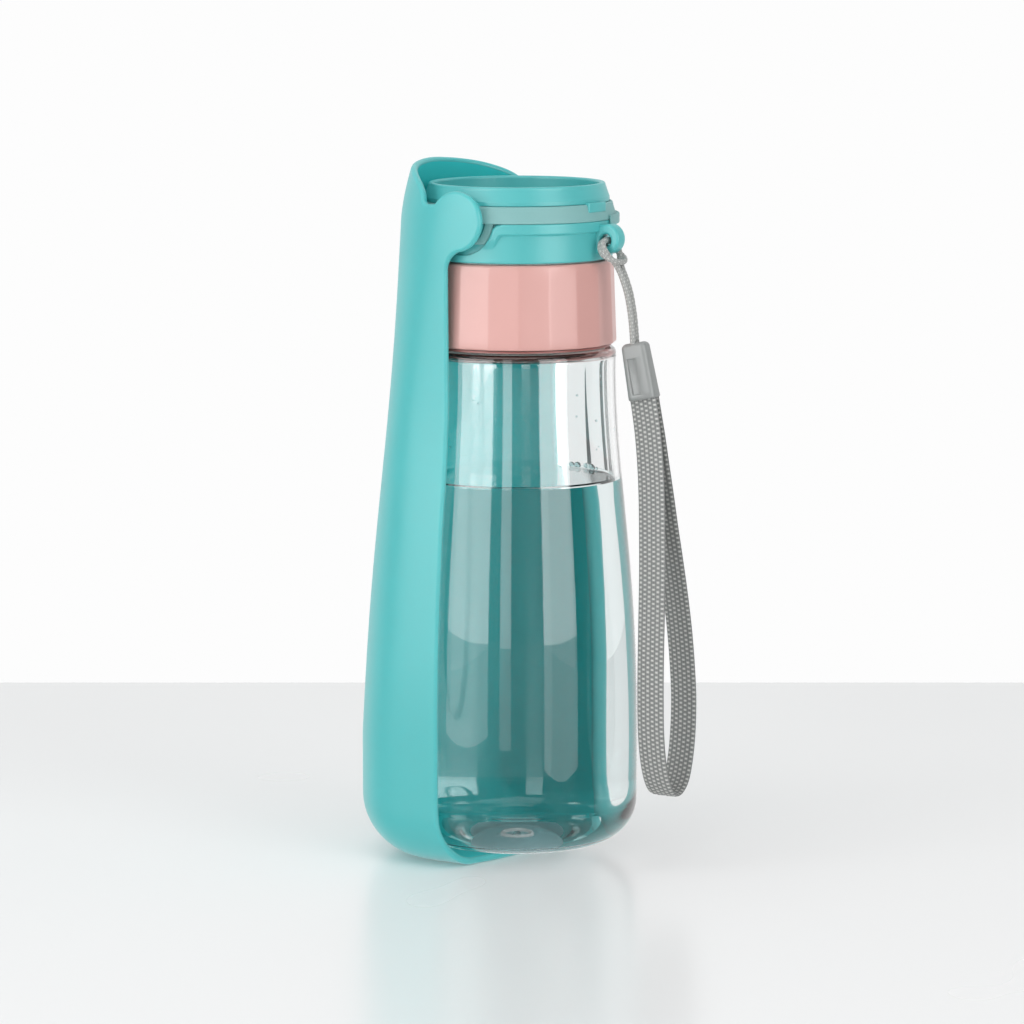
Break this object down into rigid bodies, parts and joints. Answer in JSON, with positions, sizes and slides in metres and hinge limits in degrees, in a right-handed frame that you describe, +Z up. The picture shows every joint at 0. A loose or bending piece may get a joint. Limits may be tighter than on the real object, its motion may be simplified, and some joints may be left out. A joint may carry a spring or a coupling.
{
  "type": "dog travel water bottle",
  "caption": "Clear travel bottle for dogs with a turning lock collar, a drinking tray that swings up from behind it, and a webbing wrist strap.",
  "frame": {"origin": "on the bottle's axis, in the plane that the stowed tray's foot stands on", "axes": "+Z up along the bottle's axis, +X to the front where the strap hangs, the tray's hinge along Y"},
  "size_m": [0.1114, 0.0844, 0.2258],
  "materials": {
    "bottle_clear": "clear, glossy",
    "tray_teal": "fine satin",
    "head_teal": "fine satin",
    "collar_pink": "fine satin",
    "inner_white": "satin",
    "silicone_grey": "matt, slightly see-through",
    "silicone_white": "matt",
    "ring_dark": "matt",
    "pin_steel": "plain",
    "slip_plastic": "smooth",
    "strap_fabric": "woven, with light flecks",
    "clip_plastic": "satin"
  },
  "bodies": {
    "bottle": {"bottle": "bottle_clear", "neck_gasket": "silicone_white", "head_core": "inner_white", "head_shell": "head_teal", "mouth_ring": "head_teal", "tray_seal": "silicone_grey", "valve_gasket": "silicone_white", "rotor_pin": "pin_steel", "wave_washer": "pin_steel", "collar_retainer": "collar_pink"},
    "lock": {"lock_collar": "collar_pink", "drive_keys": "inner_white", "valve_rotor": "inner_white", "rotor_o_rings": "ring_dark"},
    "tray": {"drinking_tray": "tray_teal", "hinge_pin_left": "pin_steel", "hinge_pin_right": "pin_steel", "hinge_washer_left": "slip_plastic", "hinge_washer_right": "slip_plastic"},
    "strap": {"wrist_cord": "strap_fabric", "cord_clip": "clip_plastic", "wrist_webbing": "strap_fabric"}
  },
  "joints": [
    {"name": "tray_swing", "type": "hinge", "parent": "bottle", "child": "tray", "pos_m": [-0.002, 0, 0.2083], "axis": [0, 1, 0], "range_deg": [0, 140]},
    {"name": "lock_turn", "type": "hinge", "parent": "bottle", "child": "lock", "pos_m": [0, 0, 0.1812], "axis": [0, 0, 1], "range_deg": [0, 60]},
    {"name": "strap_swing", "type": "hinge", "parent": "bottle", "child": "strap", "pos_m": [0.034, 0, 0.2016], "axis": [0, -1, 0], "range_deg": [0, 70]}
  ]
}
